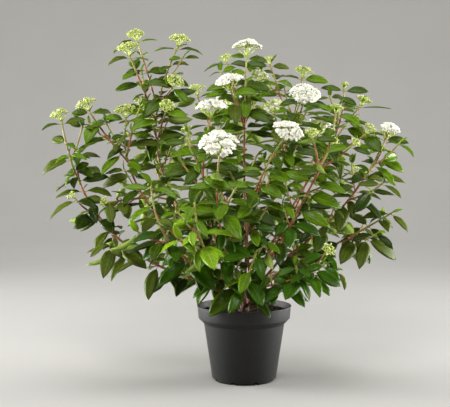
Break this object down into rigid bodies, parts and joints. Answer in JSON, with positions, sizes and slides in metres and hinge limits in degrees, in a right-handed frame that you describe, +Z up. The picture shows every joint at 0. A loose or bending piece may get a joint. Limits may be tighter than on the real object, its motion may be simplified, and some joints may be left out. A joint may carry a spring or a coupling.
{
  "type": "potted laurustinus shrub",
  "caption": "Evergreen shrub of many stems in a round tapered plastic pot: glossy leaves in opposite pairs, flat white flower heads and green buds, on compost filled to just under the rim.",
  "frame": {"origin": "centre of the pot's flat underside, on the surface that it stands on", "axes": "+Z up the shrub, -Y towards the viewer of the picture, +X to that viewer's right"},
  "size_m": [0.7474, 0.5155, 0.7158],
  "materials": {
    "pot": "satin black moulded plastic",
    "compost": "rough moist peat and bark",
    "bark": "smooth reddish brown bark",
    "foliage": "glossy evergreen leaves"
  },
  "bodies": {
    "root": {"pot": "pot", "compost": "compost", "stem_foot": "bark", "bough_far_left": "bark", "bough_left": "bark", "bough_left_tall": "bark", "bough_left_front": "bark", "bough_centre_left": "bark", "bough_front": "bark", "bough_young_front": "bark", "bough_centre_tall": "bark", "bough_centre_right": "bark", "bough_front_right": "bark", "bough_right_front": "bark", "bough_right_up": "bark", "bough_right": "bark", "bough_far_right": "bark", "bough_low_right": "bark", "bough_low_front": "bark", "bough_back_left": "bark", "bough_back": "bark", "bough_back_right": "bark", "bough_back_low_left": "bark", "bough_back_low_right": "bark", "foliage_far_left": "foliage", "foliage_left": "foliage", "foliage_left_tall": "foliage", "foliage_left_front": "foliage", "foliage_centre_left": "foliage", "foliage_front": "foliage", "foliage_young_front": "foliage", "foliage_centre_tall": "foliage", "foliage_centre_right": "foliage", "foliage_front_right": "foliage", "foliage_right_front": "foliage", "foliage_right_up": "foliage", "foliage_right": "foliage", "foliage_far_right": "foliage", "foliage_low_right": "foliage", "foliage_low_front": "foliage", "foliage_back_left": "foliage", "foliage_back": "foliage", "foliage_back_right": "foliage", "foliage_back_low_left": "foliage", "foliage_back_low_right": "foliage"}
  },
  "joints": []
}
